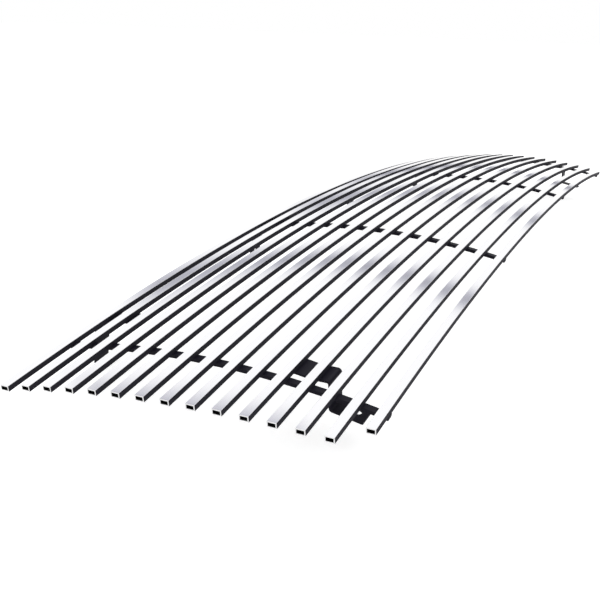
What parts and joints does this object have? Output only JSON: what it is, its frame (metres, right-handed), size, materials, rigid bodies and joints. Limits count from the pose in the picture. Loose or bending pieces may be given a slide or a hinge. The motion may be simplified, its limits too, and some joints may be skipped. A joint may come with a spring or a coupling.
{
  "type": "front grille",
  "caption": "Billet grille insert: bowed hollow bars with polished faces and black sides, set on curved back ribs with slotted mounting brackets.",
  "frame": {"origin": "under the middle of the grille's box, level with the tips of the outer upper brackets", "axes": "+X along the bars, +Y towards the upper edge of the grille, +Z out of the polished faces"},
  "size_m": [1.1754, 0.3056, 0.091],
  "materials": {
    "bar": "polished face, satin black sides",
    "black_paint": "satin black",
    "weld": "satin black"
  },
  "bodies": {
    "root": {"bar_01": "bar", "bar_02": "bar", "bar_03": "bar", "bar_04": "bar", "bar_05": "bar", "bar_06": "bar", "bar_07": "bar", "bar_08": "bar", "bar_09": "bar", "bar_10": "bar", "bar_11": "bar", "bar_12": "bar", "bar_13": "bar", "bar_14": "bar", "bar_15": "bar", "rib_left_outer": "black_paint", "rib_left_inner": "black_paint", "rib_right_inner": "black_paint", "rib_right_outer": "black_paint", "lower_bracket_left": "black_paint", "lower_bracket_right": "black_paint", "upper_outer_bracket_left": "black_paint", "upper_outer_bracket_right": "black_paint", "upper_inner_bracket_left": "black_paint", "upper_inner_bracket_right": "black_paint", "rib_welds": "weld", "bracket_welds": "weld"}
  },
  "joints": []
}
